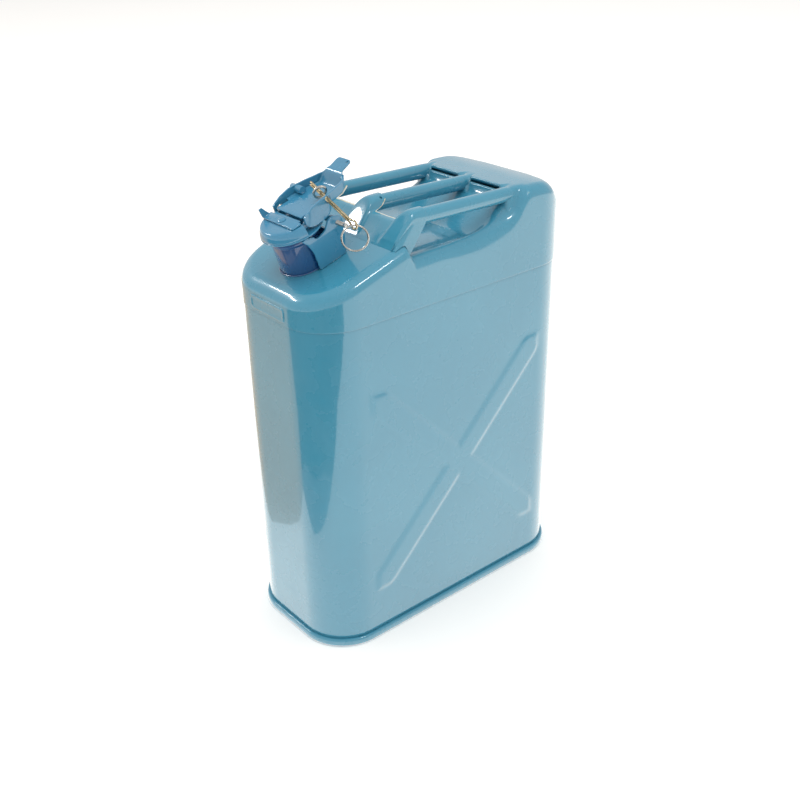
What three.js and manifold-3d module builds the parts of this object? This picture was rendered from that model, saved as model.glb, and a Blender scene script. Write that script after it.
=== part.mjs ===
// 20 litre pressed-steel fuel can with a three-bar handle and a lever closure held by a lock pin.
// Millimetres. +Z is up, the spout faces -Y, the broad sides face -X and +X.
// The origin is on the ground, under the middle of the can.
import * as THREE from 'three';
import { mergeVertices } from 'three/addons/utils/BufferGeometryUtils.js';
import Module from 'manifold-3d';

const wasm = await Module();
wasm.setup();

// ---------- driving dimensions ----------
const GAP = 0.3;                 // clearance kept between touching pieces
const SHEET = 1.2;               // wall of the pressed shells
const WIDTH = 164.4;             // body, along X
const LENGTH = 350;              // body, along Y
const CORNER_R = 52;             // upright corners of the body
const CORNER_STEPS = 10;

const CHIME_OUT = 3;             // how far the base ring stands out of the body
const CHIME_HEIGHT = 9.2;
const CHIME_IN = 5;
const SEAM_Z = 376;              // lower edge of the top cover
const LAP = 9;                   // the body wall goes this far up inside the cover

const PAN_Z = 2.5;
const PAN_FLANGE = 7;
const SWAGE_PROUD = 1.2;         // pressed cross on the broad sides
const SWAGE_WIDTH = 30;
const SWAGE_SPAN = 236;
const SWAGE_Y = 4;
const SWAGE_Z = 180;

const BEVEL_DEG = 18;            // slope of the spout face
const BEVEL_Z = 406.6;           // where the slope meets the front wall
const FLOOR_Z = 427;             // floor of the hand recess
const TOP_Z = 467.2;             // rear hump
const RECESS_FRONT_Y = -62;
const RECESS_REAR_Y = 34;        // the ramp up to the hump starts here
const HUMP_Y = 87;
const FRONT_R = 14;              // pressed radius along the front edge
const REAR_R = 40;
const PANEL_PROUD = 0.8;         // plain raised panel on the front wall

const BAR_R = 8;
const BAR_WALL = 1.5;
const BAR_SPACING = 63;
const BAR_Z = 461.6;             // the bars' axis at their front ends
const BAR_TILT_DEG = -1.23;      // the bars fall a little towards the hump
const BAR_FRONT_Y = -38.5;
const BAR_END_Y = 93;
const BRACKET_FOOT_Y = -72;
const BRACKET_LIP_Y = -31.5;
const BRACKET_HALF = 75;
const BRACKET_SHEET = 1.6;
const BRACKET_RISE = 17.5;       // height of the sheet's level rear part over its foot
const CREST_Y = -54;             // the sheet is level from here
const CREST_END_Y = -48;         // its rear edge between the bars
const HOOD_SLOPE = 1.2;          // front slope of the hoods over the bars' ends

const NECK_U = 49;               // spout centre, measured up the slope from the front edge
const NECK_R = 24;
const NECK_WALL = 1.6;
const NECK_TOP = 36;
const LIP_R = 25.4;

const HINGE_U = 82;              // cap hinge pin, in the closure's own frame (u up the slope, w off it)
const HINGE_W = 34;
const HINGE_R = 2.4;
const PIVOT_U = 58.3;            // lever rivets
const PIVOT_W = 49.2;
const RIVET_R = 2.5;
const RIVET_HEAD_R = 4.5;
const LID_RIVET_U = 42;
const HINGE_PIN_END = 44;

const LID_R = 31.5;
const LID_BOTTOM = 38.3;
const LID_TOP = 40.2;
const PAD_TOP = 50.2;
const PAD_REAR_U = 47.5;
const PAD_HALF = 20.7;
const PLATE_TOP = 52.2;
const PLATE_FRONT_U = 36;
const PLATE_REAR_U = 49.4;
const PLATE_HALF = 25;
const GASKET_INNER = 17;
const GASKET_OUTER = 26;

const ARM_X = 21;                // bridge arms, lever ears and hook plates lie side by side
const ARM_T = 1.8;
const EAR_X = 23.2;
const EAR_T = 1.8;
const HOOK_X = 27.2;
const HOOK_T = 2.5;

const FLOOR_LOW = 53;            // underside of the lever's floor
const LEVER_T = 1.7;
const TAB_HALF = 10;

const PIN_DROOP_DEG = 21;        // the lock pin hangs a little in its hole
const PIN_WIRE_R = 1.1;
const PIN_HALF_PITCH = 1.3;
const PIN_INSIDE = 28;           // from the lever wall inwards to the pin's tip
const PIN_OUTSIDE = 43;          // from the lever wall outwards to the pin's loop
const PIN_LOOP_R = 4;
const PIN_HOLE_R = 3.8;
const PIN_U = 82.5;
const PIN_W = 58.2;
const RING_R = 12.5;
const RING_WIRE_R = 1;
const RING_TURN_DEG = 51;        // which way the hanging ring faces
const EYE_R = 6;
const EYE_WIRE_R = 1.3;
const EYE_INSIDE = 12.5;         // from the lever wall inwards to the eye
const EYE_TURN_DEG = -20;
const BREATHER_R = 5;

const group = new THREE.Group();
const bevel = THREE.MathUtils.degToRad(BEVEL_DEG);

// ---------- colours ----------
const ENAMEL = { color: 0x7fb0c6, roughness: 0.28, metalness: 0 };
const DARK_ENAMEL = { color: 0x3f7fa6, roughness: 0.35, metalness: 0 };
const ZINC = { color: 0xc9c7bd, roughness: 0.3, metalness: 1 };
const BRASSY = { color: 0xb89b5e, roughness: 0.3, metalness: 1 };
const RUBBER = { color: 0x1b1b1c, roughness: 0.8, metalness: 0 };

// ---------- helpers ----------
function toSolid(geometry) {
  const bare = geometry.clone();
  bare.deleteAttribute('normal');
  bare.deleteAttribute('uv');
  const merged = mergeVertices(bare, 1e-4);
  return new wasm.Manifold(new wasm.Mesh({
    numProp: 3,
    vertProperties: new Float32Array(merged.attributes.position.array),
    triVerts: new Uint32Array(merged.index.array),
  }));
}

function toGeometry(solid) {
  const mesh = solid.getMesh();
  const geometry = new THREE.BufferGeometry();
  geometry.setAttribute('position', new THREE.BufferAttribute(mesh.vertProperties, 3));
  geometry.setIndex(new THREE.BufferAttribute(mesh.triVerts, 1));
  return geometry;
}

function place(parent, name, geometry, look) {
  const mesh = new THREE.Mesh(geometry, new THREE.MeshStandardMaterial(look));
  mesh.name = name;
  parent.add(mesh);
  return mesh;
}

function outline(points) {
  return new THREE.Shape(points.map(([a, b]) => new THREE.Vector2(a, b)));
}

// Closed outline extruded upwards.
function upright(shape, low, high, curveSegments = CORNER_STEPS) {
  const geometry = new THREE.ExtrudeGeometry(shape, { depth: high - low, bevelEnabled: false, curveSegments });
  return geometry.translate(0, 0, low);
}

// A side view, drawn in (Y, Z), extruded across X.
function across(shape, low, high, curveSegments = CORNER_STEPS) {
  const geometry = new THREE.ExtrudeGeometry(shape, { depth: high - low, bevelEnabled: false, curveSegments });
  const turn = new THREE.Matrix4().makeBasis(
    new THREE.Vector3(0, 1, 0), new THREE.Vector3(0, 0, 1), new THREE.Vector3(1, 0, 0));
  return geometry.applyMatrix4(turn).translate(low, 0, 0);
}

function roundedRectangle(width, length, radius) {
  const x = width / 2 - radius;
  const y = length / 2 - radius;
  const shape = new THREE.Shape();
  shape.absarc(x, y, radius, 0, Math.PI / 2, false);
  shape.absarc(-x, y, radius, Math.PI / 2, Math.PI, false);
  shape.absarc(-x, -y, radius, Math.PI, 1.5 * Math.PI, false);
  shape.absarc(x, -y, radius, 1.5 * Math.PI, 2 * Math.PI, false);
  return shape;
}

// The can's plan outline, offset outwards by a distance.
function plan(offset) {
  return roundedRectangle(WIDTH + 2 * offset, LENGTH + 2 * offset, CORNER_R + offset);
}

function planRing(outer, inner, low, high) {
  const shape = plan(outer);
  shape.holes.push(new THREE.Path(plan(inner).getPoints(CORNER_STEPS).reverse()));
  return upright(shape, low, high);
}

function rod(radius, length, segments = 20) {
  return new THREE.CylinderGeometry(radius, radius, length, segments);
}

function rodAlongX(radius, low, high, segments = 20) {
  return rod(radius, high - low, segments).rotateZ(Math.PI / 2).translate((low + high) / 2, 0, 0);
}

function wire(curve, radius, steps, sides = 8) {
  const section = new THREE.Shape().absarc(0, 0, radius, 0, 2 * Math.PI, false);
  return new THREE.ExtrudeGeometry(section, { extrudePath: curve, steps, curveSegments: sides, bevelEnabled: false });
}

function lathe(points, segments = 40) {
  const profile = points.map(([r, h]) => new THREE.Vector2(r, h));
  return new THREE.LatheGeometry(profile, segments).rotateX(Math.PI / 2);
}

// ---------- tank ----------
// Broad sides carry a shallow pressed cross that stiffens them.
function crossSwage(side) {
  const face = side * (WIDTH / 2 - SHEET - GAP);
  const arms = [-1, 1].map((turn) => {
    const arm = new THREE.BoxGeometry(2 * SWAGE_PROUD, 300, SWAGE_WIDTH);
    return toSolid(arm.rotateX(turn * Math.PI / 4).translate(face, SWAGE_Y, SWAGE_Z));
  });
  const frame = toSolid(new THREE.BoxGeometry(20, SWAGE_SPAN, SWAGE_SPAN).translate(face, SWAGE_Y, SWAGE_Z));
  return arms[0].add(arms[1]).intersect(frame);
}

function tankBody() {
  const inset = -(SHEET + GAP);
  const low = CHIME_HEIGHT + GAP;
  const outer = toSolid(upright(plan(inset), low, SEAM_Z + LAP));
  const inner = toSolid(upright(plan(inset - SHEET), low - 1, SEAM_Z + LAP + 1));
  return toGeometry(outer.add(crossSwage(1)).add(crossSwage(-1)).subtract(inner));
}

// The bottom is a dished pan whose flange stands inside the body wall.
function basePan() {
  const flange = -CHIME_IN - GAP;
  const dish = toSolid(upright(plan(flange), PAN_Z, CHIME_HEIGHT + PAN_FLANGE));
  const hollow = toSolid(upright(plan(flange - SHEET), PAN_Z + SHEET, CHIME_HEIGHT + PAN_FLANGE + 1));
  return toGeometry(dish.subtract(hollow));
}

place(group, 'tank_body', tankBody(), ENAMEL);
place(group, 'base_chime', planRing(CHIME_OUT, -CHIME_IN, 0, CHIME_HEIGHT), ENAMEL);
place(group, 'base_pan', basePan(), ENAMEL);

// ---------- top cover: bevel, hand recess, ramp and rear hump ----------
// The side view of the top. An inset pulls it in, which gives the inner surface.
function topProfile(inset, low) {
  const front = -LENGTH / 2 + inset;
  const rear = LENGTH / 2 - inset;
  const top = TOP_Z - inset;
  const floor = FLOOR_Z - inset;
  const bevelAt = (y) => BEVEL_Z - inset + Math.tan(bevel) * (y + LENGTH / 2);
  const shape = new THREE.Shape();
  shape.moveTo(front, low);
  shape.lineTo(rear, low);
  shape.lineTo(rear, top - REAR_R);
  shape.bezierCurveTo(rear, top - 20, rear - 12, top - 8, rear - REAR_R, top - 2);
  shape.lineTo(HUMP_Y + 14, top);
  shape.bezierCurveTo(HUMP_Y + 4, top, HUMP_Y, top - 4, HUMP_Y - 5 + inset, top - 11);
  shape.bezierCurveTo(HUMP_Y - 20, floor + 12, RECESS_REAR_Y + 20, floor, RECESS_REAR_Y, floor);
  shape.lineTo(RECESS_FRONT_Y + 8, floor);
  shape.lineTo(RECESS_FRONT_Y - inset, bevelAt(RECESS_FRONT_Y));
  shape.lineTo(front + FRONT_R, bevelAt(front + FRONT_R));
  shape.quadraticCurveTo(front, bevelAt(front), front, BEVEL_Z - inset - FRONT_R);
  return shape;
}

function coverSolid(inset, low) {
  const sides = toSolid(upright(plan(-inset), low, TOP_Z + 20));
  const view = toSolid(across(topProfile(inset, low - 5), -WIDTH, WIDTH, 6));
  return sides.intersect(view);
}

// Puts a solid drawn in the closure's frame (x, u up the slope, w off it) into the can's frame.
function ontoBevel(solid) {
  return solid.rotate([BEVEL_DEG, 0, 0]).translate([0, -LENGTH / 2, BEVEL_Z]);
}

function topCover() {
  const panel = toSolid(new THREE.BoxGeometry(60, 2 * PANEL_PROUD, 16).translate(0, -LENGTH / 2, 386));
  const bore = toSolid(rod(NECK_R - NECK_WALL, 40, 40).rotateX(Math.PI / 2).translate(0, NECK_U, 0));
  const shell = coverSolid(0, SEAM_Z).add(panel).subtract(coverSolid(SHEET, SEAM_Z - 1));
  return toGeometry(shell.subtract(ontoBevel(bore)));
}
place(group, 'top_cover', topCover(), ENAMEL);

// ---------- handle: three tubes between a front bracket and the rear hump ----------
const barPlaces = [['left', -BAR_SPACING], ['middle', 0], ['right', BAR_SPACING]];

// A round bar of any radius on a bar's axis, from its front end back into the hump.
function barSolid(x, radius, start, segments = 24) {
  const length = BAR_END_Y - start;
  return toSolid(rod(radius, length, segments).translate(0, start - BAR_FRONT_Y + length / 2, 0))
    .rotate([BAR_TILT_DEG, 0, 0])
    .translate([x, BAR_FRONT_Y, BAR_Z]);
}

function barTube(x) {
  const hump = coverSolid(0, SEAM_Z).translate([0, -GAP, 0]);
  const bore = barSolid(x, BAR_R - BAR_WALL, BAR_FRONT_Y - 1);
  return toGeometry(barSolid(x, BAR_R, BAR_FRONT_Y).subtract(bore).subtract(hump));
}
for (const [side, x] of barPlaces) {
  place(group, `handle_bar_${side}`, barTube(x), ENAMEL);
}

// Everything under the bracket's surface, or under its lower skin when an inset is given.
function underBracket(inset) {
  const ground = SEAM_Z;
  const foot = BEVEL_Z + Math.tan(bevel) * (BRACKET_FOOT_Y + LENGTH / 2) + BRACKET_SHEET + GAP - inset;
  const lip = BRACKET_LIP_Y + inset;
  const half = BRACKET_HALF + inset;
  const start = [[BRACKET_FOOT_Y, ground], [BRACKET_FOOT_Y, foot]];
  const rear = CREST_END_Y + inset;
  const saddle = outline([...start, [CREST_Y, foot + BRACKET_RISE], [rear, foot + BRACKET_RISE],
    [rear, ground]]);
  const rise = HOOD_SLOPE * (lip - BRACKET_FOOT_Y);
  const slope = toSolid(across(outline([...start, [lip, foot + rise], [lip, ground]]), -half, half));
  let under = toSolid(across(saddle, -half, half));
  for (const [, x] of barPlaces) {
    const radius = BAR_R + GAP + BRACKET_SHEET - inset;
    const sleeve = barSolid(x, radius, BRACKET_FOOT_Y);
    const below = toSolid(new THREE.BoxGeometry(2 * radius, LENGTH, BAR_Z - ground)
      .translate(x, rear - LENGTH / 2, (BAR_Z + ground) / 2));
    under = under.add(sleeve.add(below).intersect(slope));
  }
  return under;
}

// A sloping sheet with a level rear edge, and a hood over each bar's end.
function handleBracket() {
  const cover = coverSolid(0, SEAM_Z).translate([0, 0, GAP]);
  let bracket = underBracket(0).subtract(underBracket(BRACKET_SHEET)).subtract(cover);
  for (const [, x] of barPlaces) {
    bracket = bracket.subtract(barSolid(x, BAR_R + GAP, BAR_FRONT_Y - GAP));
  }
  return toGeometry(bracket);
}
place(group, 'handle_bracket', handleBracket(), ENAMEL);

// ---------- spout and closure, in a group that lies on the slope ----------
const closure = new THREE.Group();
closure.position.set(0, -LENGTH / 2, BEVEL_Z);
closure.rotation.x = bevel;
group.add(closure);

function neck() {
  const inner = NECK_R - NECK_WALL;
  return lathe([
    [inner, GAP], [NECK_R, GAP], [NECK_R, NECK_TOP - 5], [LIP_R, NECK_TOP - 3.5], [LIP_R, NECK_TOP - 1],
    [NECK_R, NECK_TOP], [inner, NECK_TOP], [inner, GAP],
  ]).translate(0, NECK_U, 0);
}

function neckCollar() {
  const inner = NECK_R + GAP;
  return lathe([[inner, GAP], [inner + 1.2, GAP], [inner + 0.4, 1.6], [inner, 1.6], [inner, GAP]])
    .translate(0, NECK_U, 0);
}

// Side plates with a forward nose and a raised rear lug for the hinge pin.
function hookPlate(x) {
  const shape = new THREE.Shape();
  shape.moveTo(48, GAP);
  shape.lineTo(48, 11.5);
  shape.quadraticCurveTo(48, 19, 46.7, 22.8);
  shape.lineTo(44, 30.3);
  shape.lineTo(39.5, 36.8);
  shape.quadraticCurveTo(41.5, 38.6, 44.3, 38.2);
  shape.quadraticCurveTo(49, 37.4, 52.9, 34.7);
  shape.lineTo(54, 31.9);
  shape.quadraticCurveTo(60, 30, 66.9, 33.8);
  shape.quadraticCurveTo(71, 40.4, 74, 41.8);
  shape.quadraticCurveTo(89, 44.5, 88.5, 32);
  shape.lineTo(80, GAP);
  const plate = toSolid(across(shape, x, x + HOOK_T, 6));
  const hole = rodAlongX(HINGE_R + GAP, -60, 60).translate(0, HINGE_U, HINGE_W);
  return toGeometry(plate.subtract(toSolid(hole)));
}

place(closure, 'neck_tube', neck(), DARK_ENAMEL);
place(closure, 'neck_collar', neckCollar(), DARK_ENAMEL);
place(closure, 'hook_plate_right', hookPlate(HOOK_X), ENAMEL);
place(closure, 'hook_plate_left', hookPlate(-HOOK_X - HOOK_T), ENAMEL);
place(closure, 'hinge_web',
  new THREE.BoxGeometry(2 * (HOOK_X - GAP), 2, 20).translate(0, 82, 10 + 2 * GAP), ENAMEL);

function hingePin() {
  const shank = toSolid(rodAlongX(HINGE_R, -HOOK_X - HOOK_T - 1, HINGE_PIN_END).translate(0, HINGE_U, HINGE_W));
  const head = rodAlongX(HINGE_R + 2, -HOOK_X - HOOK_T - 3, -HOOK_X - HOOK_T - GAP);
  return toGeometry(shank.add(toSolid(head.translate(0, HINGE_U, HINGE_W))));
}
place(closure, 'hinge_pin', hingePin(), ZINC);

// ---------- cap: lid, gasket, retainer, bridge ----------
// The lid is a flanged disc with a raised front pad. The rear half stays low, where the lever turns.
function capLid() {
  const disc = toSolid(lathe([[0, LID_BOTTOM], [LID_R - 1, LID_BOTTOM], [LID_R, LID_BOTTOM + 0.8],
    [LID_R, LID_TOP - 0.4], [LID_R - 0.8, LID_TOP], [0, LID_TOP]], 48));
  const dome = toSolid(lathe([[0, LID_TOP - 1], [LID_R - 0.8, LID_TOP - 1], [LID_R - 0.8, PAD_TOP - 4],
    [LID_R - 4, PAD_TOP], [0, PAD_TOP]], 48));
  const keep = new THREE.BoxGeometry(2 * PAD_HALF, 60, 60).translate(0, PAD_REAR_U - NECK_U - 30, PAD_TOP - 10);
  return toGeometry(disc.add(dome.intersect(toSolid(keep))).translate([0, NECK_U, 0]));
}

function gasket() {
  const low = NECK_TOP + GAP;
  const high = LID_BOTTOM - GAP;
  return lathe([[GASKET_INNER, low], [GASKET_OUTER, low], [GASKET_OUTER, high], [GASKET_INNER, high],
    [GASKET_INNER, low]]).translate(0, NECK_U, 0);
}

function gasketRetainer() {
  const high = LID_BOTTOM - GAP;
  return lathe([[0, high - 1], [GASKET_INNER - 1, high - 1.2], [GASKET_INNER - GAP, high], [0, high]])
    .translate(0, NECK_U, 0);
}

// The front plate of the bridge lies on the lid, and two arms run back past the lever to the hinge pin.
function capBridge() {
  const low = PAD_TOP + GAP;
  const wide = outline([[-PLATE_HALF, PLATE_FRONT_U], [PLATE_HALF, PLATE_FRONT_U], [PLATE_HALF, PAD_REAR_U],
    [PAD_HALF - GAP, PAD_REAR_U], [PAD_HALF - GAP, PLATE_REAR_U], [GAP - PAD_HALF, PLATE_REAR_U],
    [GAP - PAD_HALF, PAD_REAR_U], [-PLATE_HALF, PAD_REAR_U]]);
  let bridge = toSolid(upright(wide, low, PLATE_TOP));
  for (const side of [-1, 1]) {
    const shape = outline([[38, PLATE_TOP - 0.4], [38, 47], [47, 44], [60, 42.6], [72.6, 41.4], [76.8, 36],
      [76.6, 31.5], [80, 29], [84.5, 29], [87.3, 32], [87.2, 36.5], [84, 39.4], [70, 46],
      [63.2, 51], [60.5, 52.6], [56.5, 52.8], [53.5, 51], [51.5, 48.6], [49.5, 48.4], [47.5, 50.6],
      [47.5, PLATE_TOP - 0.4]]);
    const start = side > 0 ? ARM_X : -ARM_X - ARM_T;
    bridge = bridge.add(toSolid(across(shape, start, start + ARM_T)));
  }
  const ear = across(outline([[36, PLATE_TOP - 1], [44, PLATE_TOP - 1], [42, 57.5], [36.5, 61.5], [35, 60]]),
    -25, -23.2);
  bridge = bridge.add(toSolid(ear));
  const pinHole = rodAlongX(HINGE_R + GAP, -60, 60).translate(0, HINGE_U, HINGE_W);
  const rivetHole = rodAlongX(RIVET_R + GAP, -60, 60).translate(0, PIVOT_U, PIVOT_W);
  const lidRivetHole = rod(RIVET_R + GAP, 20).rotateX(Math.PI / 2).translate(0, LID_RIVET_U, PLATE_TOP);
  return toGeometry(bridge.subtract(toSolid(pinHole)).subtract(toSolid(rivetHole))
    .subtract(toSolid(lidRivetHole)));
}

function lidRivet() {
  const shank = toSolid(rod(RIVET_R, 4).rotateX(Math.PI / 2).translate(0, LID_RIVET_U, PAD_TOP + 0.1 + 2));
  const head = toSolid(new THREE.SphereGeometry(5, 20, 10).scale(1, 1, 0.4)
    .translate(0, LID_RIVET_U, PLATE_TOP + GAP));
  const above = toSolid(new THREE.BoxGeometry(20, 20, 10).translate(0, LID_RIVET_U, PLATE_TOP + GAP + 5));
  return toGeometry(shank.add(head.intersect(above)));
}

place(closure, 'cap_lid', capLid(), ENAMEL);
place(closure, 'cap_gasket', gasket(), RUBBER);
place(closure, 'gasket_retainer', gasketRetainer(), ZINC);
place(closure, 'cap_bridge', capBridge(), ENAMEL);
place(closure, 'lid_rivet', lidRivet(), ZINC);

function leverRivet(side) {
  const shank = rodAlongX(RIVET_R, ARM_X, EAR_X + EAR_T + GAP + 0.5);
  const head = rodAlongX(RIVET_HEAD_R, EAR_X + EAR_T + GAP, EAR_X + EAR_T + GAP + 1.4);
  const rivet = toSolid(shank).add(toSolid(head)).translate([0, PIVOT_U, PIVOT_W]);
  return toGeometry(side > 0 ? rivet : rivet.mirror([1, 0, 0]));
}
place(closure, 'lever_rivet_right', leverRivet(1), ZINC);
place(closure, 'lever_rivet_left', leverRivet(-1), ZINC);

// ---------- lever: an open channel that narrows to a thumb tab ----------
function leverPlan(inset) {
  const wide = EAR_X + EAR_T - inset;
  const half = [[wide, 51.5], [wide, 76], [wide - 3, 92], [17.5 - inset, 108], [TAB_HALF, 114.5], [TAB_HALF, 126],
    [TAB_HALF - 4, 130]];
  const other = half.map(([x, u]) => [-x, u]).reverse();
  return outline([...half, ...other]);
}

function leverChannel() {
  const ring = toSolid(upright(leverPlan(0), 40, 66)).subtract(toSolid(upright(leverPlan(EAR_T), 39, 67)));
  const sideView = across(outline([[51.5, 48.4], [52.6, 45.4], [57, 43], [62, 42.2], [72.5, 42.6], [79, 44.6],
    [83.5, 49], [85, FLOOR_LOW], [106.5, FLOOR_LOW], [113.4, 62.6], [114.5, 64.5], [108, 62], [74, 62.5],
    [62.5, 60.3], [55, 55.2], [52.4, 53.8]]), -40, 40);
  const walls = ring.intersect(toSolid(sideView));
  const floorView = across(outline([[52.4, 53.4], [58, FLOOR_LOW], [106.5, FLOOR_LOW], [114, 64.4], [130, 69.3],
    [130, 71], [113.4, 66.6], [105, FLOOR_LOW + LEVER_T], [58, FLOOR_LOW + LEVER_T], [52.4, 55]]), -40, 40);
  const floorPlan = toSolid(upright(leverPlan(0), 40, 80));
  const slots = [-1, 1].map((side) => toSolid(
    new THREE.BoxGeometry(EAR_X - PAD_HALF, 20, 20).translate(side * (EAR_X + PAD_HALF) / 2, 56.8, 56)));
  const floor = toSolid(floorView).intersect(floorPlan).subtract(slots[0]).subtract(slots[1]);
  const pinHole = rodAlongX(PIN_HOLE_R, -60, 60).translate(0, PIN_U, PIN_W);
  const rivetHole = rodAlongX(RIVET_R + GAP, -60, 60).translate(0, PIVOT_U, PIVOT_W);
  const tabHole = rod(1.6, 20).rotateX(Math.PI / 2).translate(TAB_HALF - 3, 127, 70);
  return toGeometry(walls.add(floor).subtract(toSolid(pinHole)).subtract(toSolid(rivetHole))
    .subtract(toSolid(tabHole)));
}
place(closure, 'cam_lever', leverChannel(), ENAMEL);

// ---------- lock pin, its eye and its ring ----------
const droop = THREE.MathUtils.degToRad(PIN_DROOP_DEG);
const pinHole = new THREE.Vector3(EAR_X + EAR_T, PIN_U, PIN_W)
  .applyAxisAngle(new THREE.Vector3(1, 0, 0), bevel).add(closure.position);
const pinAxis = new THREE.Vector3(Math.cos(droop), 0, -Math.sin(droop));
const pinUp = new THREE.Vector3(Math.sin(droop), 0, Math.cos(droop));

function pinPoint(along, up) {
  return pinHole.clone().addScaledVector(pinAxis, along).addScaledVector(pinUp, up);
}

// Two straight strands joined by a round loop at the outer end.
function lockPin() {
  const points = [pinPoint(-PIN_INSIDE, PIN_HALF_PITCH), pinPoint(0, PIN_HALF_PITCH),
    pinPoint(PIN_OUTSIDE - 12, PIN_HALF_PITCH), pinPoint(PIN_OUTSIDE - 6, PIN_HALF_PITCH + 0.6)];
  for (let turn = 120; turn >= -120; turn -= 30) {
    const angle = THREE.MathUtils.degToRad(turn);
    points.push(pinPoint(PIN_OUTSIDE + PIN_LOOP_R * Math.cos(angle), PIN_LOOP_R * Math.sin(angle)));
  }
  points.push(pinPoint(PIN_OUTSIDE - 6, -PIN_HALF_PITCH - 0.6), pinPoint(PIN_OUTSIDE - 12, -PIN_HALF_PITCH),
    pinPoint(0, -PIN_HALF_PITCH), pinPoint(-PIN_INSIDE, -PIN_HALF_PITCH));
  return wire(new THREE.CatmullRomCurve3(points), PIN_WIRE_R, 48);
}
place(group, 'lock_pin', lockPin(), BRASSY);

function lockEye() {
  const centre = pinPoint(-EYE_INSIDE, 0);
  const loop = toSolid(new THREE.TorusGeometry(EYE_R, EYE_WIRE_R, 8, 24).rotateY(Math.PI / 2 + droop)
    .rotateZ(THREE.MathUtils.degToRad(EYE_TURN_DEG)).translate(centre.x, centre.y, centre.z));
  const local = centre.clone().sub(closure.position).applyAxisAngle(new THREE.Vector3(1, 0, 0), -bevel);
  const foot = FLOOR_LOW + LEVER_T + GAP;
  const top = local.z - EYE_R;
  const stem = rod(EYE_WIRE_R, top - foot, 12).rotateX(Math.PI / 2).translate(local.x, local.y, (top + foot) / 2);
  return toGeometry(loop.add(ontoBevel(toSolid(stem))));
}
place(group, 'lock_eye', lockEye(), ZINC);

function lockRing() {
  const ring = new THREE.TorusGeometry(RING_R, RING_WIRE_R, 8, 36);
  ring.rotateX(Math.PI / 2).rotateZ(THREE.MathUtils.degToRad(RING_TURN_DEG));
  const hang = pinPoint(PIN_OUTSIDE + 0.6, 0);
  return ring.translate(hang.x, hang.y, hang.z - RING_R);
}
place(group, 'lock_ring', lockRing(), ZINC);

// ---------- breather tube inside the tank ----------
function breather() {
  const start = new THREE.Vector3(0, NECK_U + 14, 26).applyAxisAngle(new THREE.Vector3(1, 0, 0), bevel)
    .add(closure.position);
  const bend = new THREE.Vector3(0, NECK_U + 14, -8).applyAxisAngle(new THREE.Vector3(1, 0, 0), bevel)
    .add(closure.position);
  const curve = new THREE.CatmullRomCurve3([start, bend, new THREE.Vector3(0, -70, 409),
    new THREE.Vector3(0, 20, 409), new THREE.Vector3(0, 70, 418), new THREE.Vector3(0, 118, 446)]);
  return toGeometry(toSolid(wire(curve, BREATHER_R, 30, 10)));
}
place(group, 'breather_tube', breather(), ZINC);

export default group;
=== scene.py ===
# Looks of a pressed-steel 20 litre fuel can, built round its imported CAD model.
# Sizes below are in millimetres in the can's own frame; meshes are made in metres.
import math

import bmesh
import bpy
import numpy as np
from mathutils import Matrix, Vector


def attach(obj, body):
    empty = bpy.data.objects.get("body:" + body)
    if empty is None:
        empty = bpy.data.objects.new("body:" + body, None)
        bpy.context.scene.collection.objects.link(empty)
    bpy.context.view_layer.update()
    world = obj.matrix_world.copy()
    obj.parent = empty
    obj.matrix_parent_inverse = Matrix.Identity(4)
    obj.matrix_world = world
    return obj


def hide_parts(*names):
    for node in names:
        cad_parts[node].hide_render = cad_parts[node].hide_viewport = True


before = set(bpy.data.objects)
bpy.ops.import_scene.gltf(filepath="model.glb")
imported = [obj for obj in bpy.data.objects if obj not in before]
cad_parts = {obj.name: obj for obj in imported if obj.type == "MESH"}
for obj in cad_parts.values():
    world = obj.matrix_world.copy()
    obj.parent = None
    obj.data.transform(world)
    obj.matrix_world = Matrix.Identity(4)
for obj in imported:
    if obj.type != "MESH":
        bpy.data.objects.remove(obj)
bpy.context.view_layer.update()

MM = 0.001

# ---------- driving dimensions ----------
WIDTH = 164.4
LENGTH = 350.0
CORNER_R = 52.0
CHIME_OUT = 3.0
CHIME_HEIGHT = 9.2
CHIME_IN = 5.0
SEAM_Z = 376.0
LAP = 9.0
BODY_INSET = 0.75
LAP_INSET = 1.0
PRESSED_SHEET = 0.9

CROSS_Y = 4.0
CROSS_Z = 180.0
CROSS_REACH = 118.0
CROSS_HALF = 13.0
CROSS_SHOULDER = 4.0
CROSS_PROUD = 1.9

BEVEL = math.radians(18)
BEVEL_Z = 406.6
FLOOR_Z = 427.0
TOP_Z = 467.2
RECESS_FRONT_Y = -62.0
HUMP_Y = 84.0
SPINE_Y = LENGTH / 2 - WIDTH / 2

BAR_R = 8.0
BAR_SPACING = 63.0
BAR_PLACES = (-BAR_SPACING, 0.0, BAR_SPACING)
BAR_FRONT_Z = 461.8
BAR_REAR_Z = 459.0
BAR_END_Z = 456.5
BAR_FRONT_Y = -38.5
BAR_END_Y = 110.0
BRACKET_FOOT_Y = -72.0
BRACKET_LIP_Y = -31.5
BRACKET_FOLD_X = 69.6
BRACKET_SCALLOP = 16.5
BRACKET_RISE = 17.0
BRACKET_LIFT = 1.9
BRACKET_SLOPE = 0.98
NOSE_SLOPE = 1.2
WING_X = 75.2
BRACKET_SHEET = 1.5

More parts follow.
